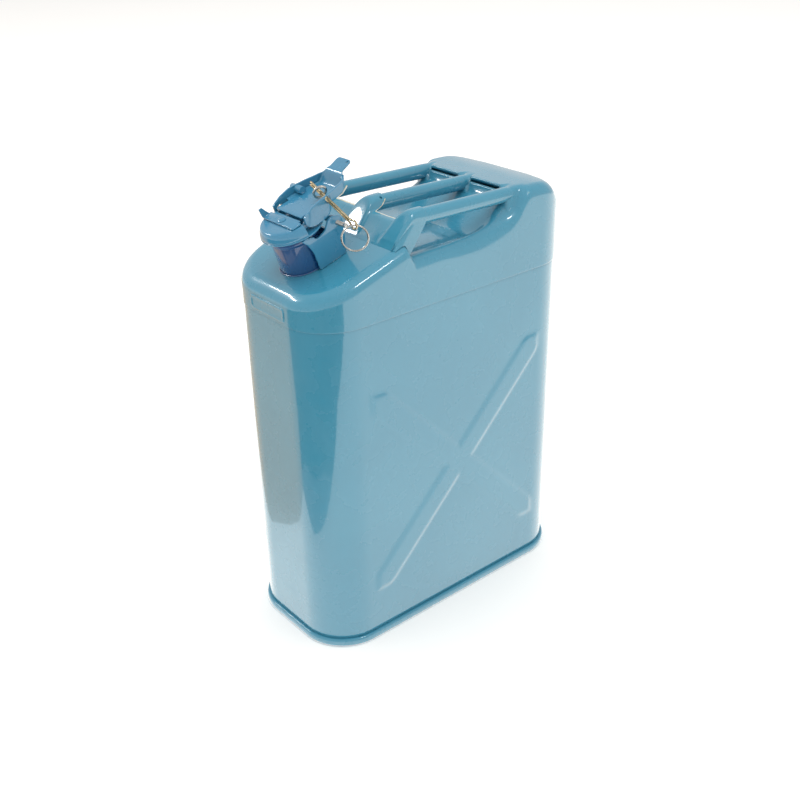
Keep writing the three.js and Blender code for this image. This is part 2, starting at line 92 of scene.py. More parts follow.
NECK_U = 49.0
NECK_R = 24.0
NECK_WALL = 1.6
NECK_TOP = 36.0
LIP_R = 25.4
HINGE_U, HINGE_W, HINGE_R = 82.0, 34.0, 2.4
PIVOT_U, PIVOT_W = 58.3, 49.2
LID_R = 31.5
LID_BOTTOM = 38.3
LID_TOP = 40.2
PAD_TOP = 50.2
PAD_REAR_U = 47.5
PLATE_TOP = 52.2
ARM_X, ARM_T = 21.0, 1.8
EAR_X, EAR_T = 23.2, 1.8
HOOK_X, HOOK_T = 27.2, 2.5
FLOOR_LOW = 53.0
LEVER_T = 1.7
PIN_U, PIN_W = 82.5, 58.2
PIN_DROOP = math.radians(21)
EYE_R = 6.0


# ---------- mesh helpers ----------
def make_object(name, vertices, faces, smooth=True):
    """A mesh object from points in millimetres."""
    mesh = bpy.data.meshes.new(name)
    mesh.from_pydata((np.asarray(vertices, float) * MM).tolist(), [], faces)
    mesh.validate()
    mesh.update()
    piece = bpy.data.objects.new(name, mesh)
    bpy.context.scene.collection.objects.link(piece)
    mesh.shade_smooth() if smooth else mesh.shade_flat()
    return piece


def fix_normals(piece):
    work = bmesh.new()
    work.from_mesh(piece.data)
    bmesh.ops.remove_doubles(work, verts=work.verts, dist=1e-7)
    bmesh.ops.recalc_face_normals(work, faces=work.faces)
    work.to_mesh(piece.data)
    work.free()
    return piece


def grid(name, rows, closed=False, caps=False):
    """A quad surface through rows of points. A closed row joins its last point to its first."""
    rows = [np.asarray(r, float) for r in rows]
    count = len(rows[0])
    vertices = np.concatenate(rows)
    faces = []
    span = count if closed else count - 1
    for j in range(len(rows) - 1):
        for i in range(span):
            k = (i + 1) % count
            faces.append((j * count + i, j * count + k, (j + 1) * count + k, (j + 1) * count + i))
    if caps:
        faces.append(tuple(range(count - 1, -1, -1)))
        faces.append(tuple(range((len(rows) - 1) * count, len(rows) * count)))
    return fix_normals(make_object(name, vertices, faces))


def apply_modifiers(piece):
    graph = bpy.context.evaluated_depsgraph_get()
    mesh = bpy.data.meshes.new_from_object(piece.evaluated_get(graph))
    piece.modifiers.clear()
    piece.data = mesh
    return piece


def thicken(piece, thickness, offset=-1.0):
    m = piece.modifiers.new("sheet", "SOLIDIFY")
    m.thickness = thickness * MM
    m.offset = offset
    return apply_modifiers(piece)


def soften(piece, width, segments=2, angle=35):
    m = piece.modifiers.new("edges", "BEVEL")
    m.width = width * MM
    m.segments = segments
    m.limit_method = "ANGLE"
    m.angle_limit = math.radians(angle)
    m.harden_normals = False
    apply_modifiers(piece)
    piece.data.shade_smooth()
    return piece


def cut(piece, *tools):
    for tool in tools:
        m = piece.modifiers.new("cut", "BOOLEAN")
        m.operation = "DIFFERENCE"
        m.solver = "EXACT"
        m.object = tool
        apply_modifiers(piece)
        bpy.data.objects.remove(tool)
    return piece


def join(name, *parts):
    """One object from several, with their meshes side by side."""
    work = bmesh.new()
    for part in parts:
        work.from_mesh(part.data)
        bpy.data.objects.remove(part)
    mesh = bpy.data.meshes.new(name)
    work.to_mesh(mesh)
    work.free()
    mesh.shade_smooth()
    piece = bpy.data.objects.new(name, mesh)
    bpy.context.scene.collection.objects.link(piece)
    return piece


def rounded(points, radius, steps=4, closed=True):
    """A polyline with each corner replaced by an arc-like curve. A radius may be given for each point."""
    points = [np.asarray(p, float) for p in points]
    count = len(points)
    radii = radius if hasattr(radius, "__len__") else [radius] * count
    made = []
    for i, p in enumerate(points):
        if not closed and i in (0, count - 1):
            made.append(p)
            continue
        before, after = points[i - 1] - p, points[(i + 1) % count] - p
        reach = min(radii[i], np.linalg.norm(before) * 0.48, np.linalg.norm(after) * 0.48)
        if reach < 1e-6:
            made.append(p)
            continue
        a = p + before / np.linalg.norm(before) * reach
        b = p + after / np.linalg.norm(after) * reach
        for t in np.linspace(0, 1, steps + 1):
            made.append((1 - t) ** 2 * a + 2 * t * (1 - t) * p + t * t * b)
    return made


def closure(x, u, w):
    """A point of the closure's own frame (across, up the slope, off the slope) in the can's frame."""
    return np.array([
        x,
        -LENGTH / 2 + u * math.cos(BEVEL) - w * math.sin(BEVEL),
        BEVEL_Z + u * math.sin(BEVEL) + w * math.cos(BEVEL)])


CLOSURE_MATRIX = Matrix((
    (0, 0, 1, 0),
    (math.cos(BEVEL), -math.sin(BEVEL), 0, -LENGTH / 2 * MM),
    (math.sin(BEVEL), math.cos(BEVEL), 0, BEVEL_Z * MM),
    (0, 0, 0, 1)))


def turned(name, profile, u=NECK_U, segments=96, edge=0.5):
    """A turned piece about the neck's axis, from a closed profile of (radius, height) points."""
    profile = rounded(profile, edge)
    rows = []
    for a in np.linspace(0, 2 * math.pi, segments, endpoint=False):
        rows.append([closure(r * math.sin(a), u - r * math.cos(a), h) for r, h in profile])
    rows.append(rows[0])
    return grid(name, rows, closed=True)


def pin_along_x(name, low, high, u, w, profile_r, segments=40):
    """A turned piece across the closure. profile_r gives (share of the length, radius) points."""
    rows = []
    for t, r in profile_r:
        x = low + (high - low) * t
        ring = []
        for a in np.linspace(0, 2 * math.pi, segments, endpoint=False):
            ring.append(closure(x, u + r * math.cos(a), w + r * math.sin(a)))
        rows.append(ring)
    return grid(name, rows, closed=True, caps=True)


def plate(name, outline, low, high, holes=(), edge=0.35):
    """A flat plate in the (u, w) plane between two x values, with rounded edges."""
    curve = bpy.data.curves.new(name, "CURVE")
    curve.dimensions = "2D"
    curve.fill_mode = "BOTH"
    curve.extrude = ((high - low) / 2 - edge) * MM
    curve.bevel_depth = edge * MM
    curve.bevel_resolution = 2
    curve.offset = -edge * MM
    loops = [outline]
    for u, w, r in holes:
        turns = np.linspace(0, 2 * math.pi, 28, endpoint=False)
        loops.append([(u + r * math.cos(a), w + r * math.sin(a)) for a in turns])
    for loop in loops:
        spline = curve.splines.new("POLY")
        spline.points.add(len(loop) - 1)
        for point, (u, w) in zip(spline.points, loop):
            point.co = (u * MM, w * MM, 0, 1)
        spline.use_cyclic_u = True
    holder = bpy.data.objects.new(name + "_curve", curve)
    bpy.context.scene.collection.objects.link(holder)
    graph = bpy.context.evaluated_depsgraph_get()
    mesh = bpy.data.meshes.new_from_object(holder.evaluated_get(graph))
    bpy.data.objects.remove(holder)
    mesh.transform(CLOSURE_MATRIX @ Matrix.Translation((0, 0, (low + high) / 2 * MM)))
    mesh.name = name
    piece = bpy.data.objects.new(name, mesh)
    bpy.context.scene.collection.objects.link(piece)
    fix_normals(piece)
    piece.data.set_sharp_from_angle(angle=math.radians(40))
    return piece


def smooth_path(points, per_span=8, closed=False):
    """A Catmull-Rom curve through points."""
    p = [np.asarray(q, float) for q in points]
    n = len(p)
    made = []
    spans = n if closed else n - 1
    for i in range(spans):
        if closed:
            a, b, c, d = p[i - 1], p[i], p[(i + 1) % n], p[(i + 2) % n]
        else:
            a, b, c, d = p[max(i - 1, 0)], p[i], p[i + 1], p[min(i + 2, n - 1)]
        for t in np.linspace(0, 1, per_span, endpoint=False):
            made.append(0.5 * (2 * b + (c - a) * t + (2 * a - 5 * b + 4 * c - d) * t * t
                               + (3 * b - 3 * c + d - a) * t ** 3))
    if not closed:
        made.append(p[-1])
    return made


def wire(name, path, radius, closed=False, sides=14):
    """A round wire along a path, with domed ends where it isn't closed."""
    path = [np.asarray(q, float) for q in path]
    n = len(path)
    tangents = []
    for i in range(n):
        before = path[i - 1] if (closed or i > 0) else path[i]
        after = path[(i + 1) % n] if (closed or i < n - 1) else path[i]
        t = after - before
        tangents.append(t / np.linalg.norm(t))
    normal = np.cross(tangents[0], [0.3, 0.5, 0.8])
    rings = []
    for q, t in zip(path, tangents):
        normal = normal - t * (normal @ t)
        normal = normal / np.linalg.norm(normal)
        rings.append((q, t, normal, np.cross(t, normal)))

    def ring(q, a, b, r):
        turns = np.linspace(0, 2 * math.pi, sides, endpoint=False)
        return [q + r * (math.cos(s) * a + math.sin(s) * b) for s in turns]
    rows = [ring(q, a, b, radius) for q, t, a, b in rings]
    if closed:
        rows.append(rows[0])
        return grid(name, rows, closed=True)
    q, t, a, b = rings[0]
    tip = ring(q - t * radius * 0.5, a, b, radius * 0.45)
    shoulder = ring(q - t * radius * 0.35, a, b, radius * 0.8)
    rows = [tip, shoulder] + rows
    q, t, a, b = rings[-1]
    rows += [ring(q + t * radius * 0.35, a, b, radius * 0.8), ring(q + t * radius * 0.5, a, b, radius * 0.45)]
    return grid(name, rows, closed=True, caps=True)


def step(low, high, value):
    """0 below low, 1 above high, smooth between."""
    t = np.clip((np.asarray(value, float) - low) / (high - low), 0, 1)
    return t * t * (3 - 2 * t)


def smooth_max(a, b, k):
    return 0.5 * (a + b + np.sqrt((a - b) ** 2 + k * k))


def smooth_min(a, b, k):
    return 0.5 * (a + b - np.sqrt((a - b) ** 2 + k * k))


# ---------- node materials ----------
def new_material(name):
    material = bpy.data.materials.new(name)
    material.use_nodes = True
    nodes, links = material.node_tree.nodes, material.node_tree.links
    nodes.clear()
    out = nodes.new("ShaderNodeOutputMaterial")
    shader = nodes.new("ShaderNodeBsdfPrincipled")
    links.new(shader.outputs["BSDF"], out.inputs["Surface"])
    return material, nodes, links, shader


def add(nodes, links, kind, inputs=None, **settings):
    """A node with its settings, and its inputs set or linked."""
    node = nodes.new(kind)
    for key, value in settings.items():
        setattr(node, key, value)
    for key, value in (inputs or {}).items():
        if isinstance(value, bpy.types.NodeSocket):
            links.new(value, node.inputs[key])
        else:
            node.inputs[key].default_value = value
    return node


def noise(nodes, links, coords, scale, detail=3.0, rough=0.5):
    return add(nodes, links, "ShaderNodeTexNoise",
               {"Vector": coords, "Scale": scale, "Detail": detail, "Roughness": rough}).outputs["Fac"]


def remap(nodes, links, value, low, high, to_low, to_high):
    return add(nodes, links, "ShaderNodeMapRange",
               {"Value": value, "From Min": low, "From Max": high, "To Min": to_low, "To Max": to_high},
               clamp=True).outputs["Result"]


def mix_color(nodes, links, factor, a, b):
    node = nodes.new("ShaderNodeMix")
    node.data_type = "RGBA"
    for socket, value in ((node.inputs[0], factor), (node.inputs[6], a), (node.inputs[7], b)):
        if isinstance(value, bpy.types.NodeSocket):
            links.new(value, socket)
        else:
            socket.default_value = value
    return node.outputs[2]


def enamel(name, color, shade, wear=False, gloss=0.25, wave=0.15):
    """Glossy sprayed enamel on pressed steel: soft colour drift, orange peel, slow waves, small chips."""
    material, nodes, links, shader = new_material(name)
    coords = add(nodes, links, "ShaderNodeTexCoord").outputs["Object"]
    drift = noise(nodes, links, coords, 9.0, 2.0)
    blend = remap(nodes, links, drift, 0.35, 0.65, 0.0, 1.0)
    base = mix_color(nodes, links, blend, color, shade)
    specks = noise(nodes, links, coords, 900.0, 2.0, 0.6)
    speck_mask = remap(nodes, links, specks, 0.72, 0.76, 0.0, 0.35)
    base = mix_color(nodes, links, speck_mask, base, (*[c * 0.55 for c in shade[:3]], 1))
    rough = remap(nodes, links, noise(nodes, links, coords, 35.0, 4.0), 0.3, 0.7, gloss * 0.8, gloss * 1.35)
    if wear:
        mask = add(nodes, links, "ShaderNodeAttribute", attribute_name="wear").outputs["Fac"]
        ragged = noise(nodes, links, coords, 260.0, 5.0, 0.65)
        total = add(nodes, links, "ShaderNodeMath", {0: mask, 1: ragged}, operation="ADD").outputs[0]
        primer = remap(nodes, links, total, 0.98, 1.12, 0.0, 1.0)
        bare = remap(nodes, links, total, 1.25, 1.4, 0.0, 1.0)
        base = mix_color(nodes, links, primer, base, (0.78, 0.66, 0.36, 1))
        base = mix_color(nodes, links, bare, base, (0.93, 0.92, 0.86, 1))
    peel = noise(nodes, links, coords, 420.0, 1.0)
    waves = noise(nodes, links, coords, 11.0, 1.0)
    fine = add(nodes, links, "ShaderNodeBump", {"Height": peel, "Strength": 0.5, "Distance": 0.00002})
    slow = add(nodes, links, "ShaderNodeBump",
               {"Height": waves, "Strength": wave, "Distance": 0.002, "Normal": fine.outputs["Normal"]})
    links.new(base, shader.inputs["Base Color"])
    links.new(rough, shader.inputs["Roughness"])
    links.new(slow.outputs["Normal"], shader.inputs["Normal"])
    shader.inputs["Coat Weight"].default_value = 1.0
    shader.inputs["Coat Roughness"].default_value = 0.04
    shader.inputs["Coat IOR"].default_value = 1.6
    shader.inputs["IOR"].default_value = 1.5
    return material


def plated(name, color, tint, rough_low, rough_high, scale=160.0):
    """Plated steel wire or bar: fine drawn streaks, stains and small pits."""
    material, nodes, links, shader = new_material(name)
    coords = add(nodes, links, "ShaderNodeTexCoord").outputs["Object"]
    stains = noise(nodes, links, coords, scale, 4.0, 0.6)
    base = mix_color(nodes, links, remap(nodes, links, stains, 0.35, 0.68, 0.0, 1.0), color, tint)
    stretched = add(nodes, links, "ShaderNodeMapping", {"Vector": coords, "Scale": (60.0, 900.0, 900.0)})
    streaks = noise(nodes, links, stretched.outputs["Vector"], 1.0, 3.0, 0.6)
    rough = remap(nodes, links, streaks, 0.3, 0.7, rough_low, rough_high)
    pits = noise(nodes, links, coords, 1500.0, 2.0)
    bump = add(nodes, links, "ShaderNodeBump", {"Height": pits, "Strength": 0.4, "Distance": 0.00003})
    links.new(base, shader.inputs["Base Color"])
    links.new(rough, shader.inputs["Roughness"])
    links.new(bump.outputs["Normal"], shader.inputs["Normal"])
    shader.inputs["Metallic"].default_value = 1.0
    return material


def black_rubber():
    material, nodes, links, shader = new_material("gasket_rubber")
    coords = add(nodes, links, "ShaderNodeTexCoord").outputs["Object"]
    bloom = noise(nodes, links, coords, 120.0, 4.0, 0.6)
    base = mix_color(nodes, links, remap(nodes, links, bloom, 0.4, 0.75, 0.0, 1.0),
                     (0.018, 0.018, 0.019, 1), (0.05, 0.05, 0.052, 1))
    grain = noise(nodes, links, coords, 1400.0, 2.0)
    bump = add(nodes, links, "ShaderNodeBump", {"Height": grain, "Strength": 0.5, "Distance": 0.00005})
    links.new(base, shader.inputs["Base Color"])
    links.new(bump.outputs["Normal"], shader.inputs["Normal"])
    shader.inputs["Roughness"].default_value = 0.75
    return material


BODY_PAINT = enamel("body_enamel", (0.050, 0.285, 0.415, 1), (0.042, 0.262, 0.388, 1))
WORN_PAINT = enamel("worn_enamel", (0.050, 0.285, 0.415, 1), (0.042, 0.262, 0.388, 1), wear=True)
CLOSURE_PAINT = enamel("closure_enamel", (0.042, 0.26, 0.43, 1), (0.034, 0.225, 0.385, 1), wave=0.2)
# The spout paint is the body's blue made far darker. This is painted shade from the lid above and a painted
# dark reflection, on the spout and its weld ring.
SHADED_NECK_PAINT = enamel("spout_enamel", (0.012, 0.085, 0.25, 1), (0.010, 0.07, 0.21, 1), wave=0.2)
ZINC = plated("zinc_steel", (0.70, 0.69, 0.66, 1), (0.52, 0.50, 0.44, 1), 0.16, 0.34)
BRASSY = plated("pin_metal", (0.72, 0.61, 0.40, 1), (0.44, 0.35, 0.20, 1), 0.2, 0.4)
RUBBER = black_rubber()

SLOTS = {"body_enamel": BODY_PAINT, "spout_enamel": SHADED_NECK_PAINT, "zinc_steel": ZINC, "pin_metal": BRASSY,
         "gasket_rubber": RUBBER}


def finish_piece(piece, body, slot, nodes=(), material=None):
    """Gives a piece its material (the slot's own unless one is given) and its body, and hides the CAD nodes
    it stands for.
    """
    piece.data.materials.clear()
    piece.data.materials.append(material or SLOTS[slot])
    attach(piece, body)
    if nodes:
        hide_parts(*nodes)
    return piece


# ---------- the can's plan outline ----------
def plan_outline(along_step=2.0, corner_steps=20, end_steps=20):
    """Points round the plan, each as (x, y, outward x, outward y), starting at the front of the +X side."""
    x_flat = WIDTH / 2 - CORNER_R
    y_flat = LENGTH / 2 - CORNER_R
    made = []
    count = int(round(2 * y_flat / along_step))
    for y in np.linspace(-y_flat, y_flat, count, endpoint=False):
        made.append((WIDTH / 2, y, 1.0, 0.0))
    for sx, sy, start in ((1, 1, 0), (-1, 1, 90), (-1, -1, 180), (1, -1, 270)):
        if sx == -1 and sy == 1:
            for x in np.linspace(x_flat, -x_flat, end_steps, endpoint=False):
                made.append((x, LENGTH / 2, 0.0, 1.0))
        if sx == -1 and sy == -1:
            for y in np.linspace(y_flat, -y_flat, count, endpoint=False):
                made.append((-WIDTH / 2, y, -1.0, 0.0))
        if sx == 1 and sy == -1:
            for x in np.linspace(-x_flat, x_flat, end_steps, endpoint=False):
                made.append((x, -LENGTH / 2, 0.0, -1.0))
        for a in np.radians(np.linspace(start, start + 90, corner_steps, endpoint=False)):
            nx, ny = math.cos(a), math.sin(a)
            made.append((sx * x_flat + CORNER_R * nx, sy * y_flat + CORNER_R * ny, nx, ny))
    return np.array(made)


def ring_at(plan, inset, z):
    """The plan outline pulled in by an inset, at a height. Both may differ from point to point."""
    xy = plan[:, :2] - plan[:, 2:] * np.reshape(inset, (-1, 1))
    return np.column_stack([xy, np.broadcast_to(z, len(plan))])


# ---------- tank body ----------
def cross_height(y, z):
    """Height of the pressed cross on the broad sides, with soft shoulders."""
    dy, dz = y - CROSS_Y, z - CROSS_Z
    half = CROSS_HALF * math.sqrt(2)
    soft = CROSS_SHOULDER * math.sqrt(2)
    arm = [1 - step(half - soft, half + soft, np.abs(dy + s * dz)) for s in (-1, 1)]
    inside = 1 - step(CROSS_REACH - 5, CROSS_REACH + 4, np.maximum(np.abs(dy), np.abs(dz)))
    return CROSS_PROUD * np.maximum(arm[0], arm[1]) * inside


def build_body():
    plan = plan_outline(along_step=2.0)
    side = np.abs(plan[:, 2]) > 0.999
    levels = np.concatenate([
        [CHIME_HEIGHT + 0.3, 14, 22, 34, 46], np.arange(54, 308, 2.2),
        [318, 332, 348, 362, 372, SEAM_Z - 2, SEAM_Z - 1, SEAM_Z, SEAM_Z + LAP]])
    rows = []
    for z in levels:
        proud = np.where(side, cross_height(plan[:, 1], z), 0.0)
        swell = 0.5 * math.sin(math.pi * (z - CHIME_HEIGHT) / (SEAM_Z - CHIME_HEIGHT)) if z < SEAM_Z else 0.0
        middle = np.clip(1 - (plan[:, 1] / (LENGTH / 2 - CORNER_R)) ** 2, 0, 1) * np.abs(plan[:, 2])
        joggle = (LAP_INSET - BODY_INSET) * step(SEAM_Z - 2, SEAM_Z, z)
        rows.append(ring_at(plan, BODY_INSET + joggle - proud - swell * middle, z))
    body = grid("body_shell", rows, closed=True)
    return thicken(body, PRESSED_SHEET)


def build_chime():
    """The rolled ring round the bottom edge: a rounded bead that the shell stands in."""
    section = rounded([(-CHIME_IN, 0.0), (1.0, 0.0), (CHIME_OUT, 2.2), (CHIME_OUT, 6.4),
                       (1.6, CHIME_HEIGHT), (-CHIME_IN, CHIME_HEIGHT)],
                      [0.8, 2.2, 2.6, 2.6, 2.0, 0.6], 5)
    plan = plan_outline(along_step=8.0)
    rows = [ring_at(plan, -out, z) for out, z in section]
    rows.append(rows[0])
    return grid("base_ring", rows, closed=True)


def build_pan():
    plan = plan_outline(along_step=8.0)
    profile = [(CHIME_IN + 0.3, CHIME_HEIGHT + 7), (CHIME_IN + 0.3, 4.6), (CHIME_IN + 1.1, 3.1),
               (CHIME_IN + 2.8, 2.6), (22, 2.6), (26, 3.4), (30, 4.4), (44, 4.4), (51, 4.4)]
    rows = [ring_at(plan, inset, z) for inset, z in profile]
    inner = rows[-1]
    spine = np.column_stack([np.zeros(len(plan)), np.clip(plan[:, 1], -SPINE_Y, SPINE_Y),
                             np.full(len(plan), 4.4)])
    for t in (0.5, 1.0):
        rows.append(inner * (1 - t) + spine * t)
    return thicken(grid("bottom_pan", rows, closed=True), 0.9, 1.0)


# ---------- top cover ----------
def bar_axis(y):
    """Height of the bars' axis, which falls a little towards the hump and then dives into it."""
    return np.interp(y, [BAR_FRONT_Y, HUMP_Y, BAR_END_Y], [BAR_FRONT_Z, BAR_REAR_Z, BAR_END_Z])


def near_bar(x):
    """Distance across to the nearest bar's axis."""
    return np.min([np.abs(x - place) for place in BAR_PLACES], axis=0)


def crown(y):
    """Top of the hump, falling away to the rear."""
    return TOP_Z - 0.0033 * np.clip(y - 112, 0, None) ** 2


def bevel_height(y):
    """Height of the slope that carries the spout."""
    return BEVEL_Z + math.tan(BEVEL) * (y + LENGTH / 2)


def recess(x, y):
    """Bevel, recess floor and ramp. Beside the outer bars the ramp climbs to the hump in one sweep."""
    slope = bevel_height(y)
    wall = FLOOR_Z + (RECESS_FRONT_Y + 8 - y) * 2.0
    front = smooth_min(slope, smooth_max(wall, FLOOR_Z, 3.0), 3.0)
    middle = np.where(y < 0, front, FLOOR_Z + 27 * step(30, 92, y))
    shoulder = np.mean([np.interp(y + d, [-60, 0, 25, 53, 82, 95, 104, 120], [1.2, 3, 6, 12, 21, 28, 38, 62])
                        for d in (-6, -3, 0, 3, 6)], axis=0)
    outside = np.where(y < -30, np.maximum(front, FLOOR_Z + shoulder), FLOOR_Z + shoulder)
    side = step(62, 73, np.abs(x)) * step(-66, -50, y)
    return middle * (1 - side) + outside * side


def hump_share(x, y):
    """0 in front of the hump and 1 on it. The edge is sharp between the bars and long over them."""
    flow = 1 - step(5.0, 9.5, near_bar(x))
    sharp = step(HUMP_Y - 1.2 - 3 * flow, HUMP_Y + 1.2 + 13 * flow, y)
    return sharp * (1 - step(62, 73, np.abs(x))) + step(84, 112, y) * step(62, 73, np.abs(x))


def over_bars(x, y):
    """The hump's sheet lies just inside the bars' upper halves where they run into it."""
    reach = 1 - (near_bar(x) / BAR_R) ** 2
    upper = bar_axis(y) - 0.3 + BAR_R * np.sqrt(np.clip(reach, 0, None))
    return np.where((reach > 0) & (y > HUMP_Y - 5), upper, -1e3)


def edge_radius(y):
    """Pressed radius along the top edge."""
    return 13.0 + 9.0 * step(-30, 50, y) * (1 - step(70, 100, y)) + 17.0 * step(128, 172, y)


def top_surface(x, y, inset, radius):
    low = np.maximum(recess(x, y), over_bars(x, y))
    top = crown(y)
    share = hump_share(x, y)
    z = smooth_min(low, top, 1.0) * (1 - share) + top * share
    near = np.clip(radius - inset, 0, radius)
    return z - (radius - np.sqrt(np.clip(radius ** 2 - near ** 2, 0, None)))


def build_cover():
    plan = plan_outline(along_step=1.7, corner_steps=26, end_steps=26)
    radius = edge_radius(plan[:, 1])
    walls = []
    turns = np.radians(np.concatenate([np.linspace(0, 30, 7), np.linspace(36, 90, 10)]))
    arcs = []
    for turn in turns:
        inset = radius * (1 - math.cos(turn))
        ring = ring_at(plan, inset, 0.0)
        ring[:, 2] = top_surface(ring[:, 0], ring[:, 1], inset, radius)
        arcs.append(ring)
    low = arcs[0][:, 2]
    for t in (0.0, 0.004, 0.02, 0.3, 0.6, 0.85):
        pull = 0.35 if t == 0 else 0.0
        walls.append(ring_at(plan, pull, SEAM_Z + (low - SEAM_Z) * t))
    inner = arcs[-1]
    spine = np.column_stack([np.zeros(len(plan)), np.clip(inner[:, 1], -SPINE_Y, SPINE_Y)])
    fill = []
    for t in np.linspace(0, 1, 44)[1:]:
        xy = inner[:, :2] * (1 - t) + spine * t
        z = top_surface(xy[:, 0], xy[:, 1], np.full(len(xy), 1e3), radius)
        fill.append(np.column_stack([xy, z]))
    cover = grid("top_shell", walls + arcs + fill, closed=True)
    open_bore(cover)
    cover = thicken(cover, PRESSED_SHEET)
    for side in (-1, 1):
        cut(cover, lip_gap(side * BAR_SPACING / 2))
    cover.data.shade_smooth()
    return cover


def lip_gap(x):
    """The narrow gap between the hump's front edge and the slot's rear wall, as a cutting tool."""
    work = bmesh.new()
    size = Vector((BAR_SPACING - 2 * BAR_R - 3.0, 1.0, 12.0)) * MM
    place = Matrix.Translation(Vector((x, HUMP_Y + 1.0, TOP_Z - 1.0)) * MM)
    bmesh.ops.create_cube(work, size=1.0, matrix=place @ Matrix.Diagonal((*size, 1)))
    mesh = bpy.data.meshes.new("lip_gap")
    work.to_mesh(mesh)
    work.free()
    tool = bpy.data.objects.new("lip_gap", mesh)
    bpy.context.scene.collection.objects.link(tool)
    return tool


def open_bore(piece):
    """Clears the cover inside the neck and snaps the edge to a circle."""
    radius = NECK_R - NECK_WALL / 2
    work = bmesh.new()
    work.from_mesh(piece.data)
    axis = Vector((0, -math.sin(BEVEL), math.cos(BEVEL)))
    foot = Vector(closure(0, NECK_U, 0) * MM)

    def off_axis(point):
        d = point - foot
        return d - axis * d.dot(axis)
    near = [f for f in work.faces
            if off_axis(f.calc_center_median()).length < radius * MM and f.calc_center_median().y < -0.1]
    bmesh.ops.delete(work, geom=near, context="FACES")
    for v in work.verts:
        d = off_axis(v.co)
        if v.is_boundary and d.length < (radius + 6) * MM:
            v.co += d.normalized() * (radius * MM - d.length)
    work.to_mesh(piece.data)
    work.free()


def build_panel():
    """A plain raised field with rounded corners on the front wall."""
    half_x, low, high = 29.0, 378.5, 393.5
    outline = rounded([(-half_x, low), (half_x, low), (half_x, high), (-half_x, high)], 4.5, 6)
    centre = np.array([0.0, (low + high) / 2])
    rows = []
    for inset, proud in ((0.0, -0.4), (0.0, 0.25), (0.35, 0.6), (0.9, 0.78),
                         (2.4, 0.8), (3.2, 0.45), (4.4, 0.4)):
        ring = []
        for p in outline:
            q = np.asarray(p) - centre
            q = q * np.array([1 - inset / half_x, 1 - inset / ((high - low) / 2)]) + centre
            ring.append((q[0], -LENGTH / 2 - proud, q[1]))
        rows.append(ring)
    return grid("front_panel", rows, closed=True, caps=True)


# ---------- handle ----------
def build_bar(side, x):
    rows = []
    for y, r in ((2.0, BAR_R - 2.0), (0.0, BAR_R - 1.6), (-0.2, BAR_R - 0.6),
                 (0.3, BAR_R - 0.15), (1.0, BAR_R)):
        rows.append(bar_ring(x, BAR_FRONT_Y + y, r))
    for y in np.linspace(BAR_FRONT_Y + 6, BAR_END_Y, 36):
        rows.append(bar_ring(x, y, BAR_R))
    return grid(f"handle_tube_{side}", rows, closed=True, caps=True)


def bar_ring(x, y, r, sides=48):
    turns = np.linspace(0, 2 * math.pi, sides, endpoint=False)
    return [(x + r * math.sin(a), y, bar_axis(y) + r * math.cos(a)) for a in turns]


def bracket_rear(x):
    """The sheet's rear edge: far back over the bars and scalloped forward between them."""
    between = step(9.0, 14.0, near_bar(x)) * (np.abs(x) < BAR_SPACING)
    return BRACKET_LIP_Y - BRACKET_SCALLOP * between


def bracket_top(x, y):
    """One broad slope with a level crest, and a steeper ridge over each bar's end."""
    foot = bevel_height(BRACKET_FOOT_Y) + BRACKET_LIFT
    sheet = smooth_min(foot + BRACKET_SLOPE * (y - BRACKET_FOOT_Y), foot + BRACKET_RISE, 3.0)
    nose = foot + NOSE_SLOPE * (y - BRACKET_FOOT_Y)
    reach = 1 - (near_bar(x) / (BAR_R + 2.6)) ** 2
    over = bar_axis(y) + (BAR_R + 1.5) * np.sqrt(np.clip(reach, 0, None)) + 20 * np.clip(reach, None, 0)
    return smooth_max(sheet, smooth_min(nose, over, 4.0), 4.0)


def bracket_wing(side, edge, t):
    """The side facet of one row: round the bar's flank, then straight down to the rim of the recess."""
    low_y = BRACKET_FOOT_Y - 2 + 18 * t
    low = np.array([side * WING_X, low_y, cover_height(WING_X, low_y) + 1.2])
    drop = edge[2] - low[2]
    bulge = np.array([side * 72.4, edge[1], edge[2] - 0.15 * drop])
    tuck = np.array([side * 71.6, edge[1] - 1.0 * t, edge[2] - 0.32 * drop])
    return rounded([edge, bulge, tuck, low], 2.6, 5, closed=False)[1:]


def build_bracket():
    bevel_at = bevel_height(BRACKET_FOOT_Y - 4)
    across = np.linspace(-BRACKET_FOLD_X, BRACKET_FOLD_X, 141)
    level = np.ones(len(across))
    rear = bracket_rear(across)
    rows = [np.column_stack([across, (BRACKET_FOOT_Y - 4) * level, (bevel_at + 0.1) * level]),
            np.column_stack([across, (BRACKET_FOOT_Y - 1.4) * level, (bevel_at + 1.7) * level])]
    for share in np.linspace(0.02, 1.0, 34):
        y = BRACKET_FOOT_Y + share * (rear - BRACKET_FOOT_Y)
        rows.append(np.column_stack([across, y, bracket_top(across, y)]))
    wrapped = []
    for k, row in enumerate(rows):
        t = k / (len(rows) - 1)
        left = bracket_wing(-1, row[0], t)
        right = bracket_wing(1, row[-1], t)
        wrapped.append(np.array(left[::-1] + list(row) + right))
    bracket = thicken(grid("handle_hood", wrapped), BRACKET_SHEET)
    cut(bracket, punch(np.array([7.0, -36.0, 456.0]), np.array([7.0, -36.0, 476.0]), 1.4))
    mark_wear(bracket)
    return soften(bracket, 0.4)


def cover_height(x, y):
    radius = float(edge_radius(y))
    return float(top_surface(np.array([x]), np.array([y]), np.array([WIDTH / 2 - abs(x)]), radius)[0])


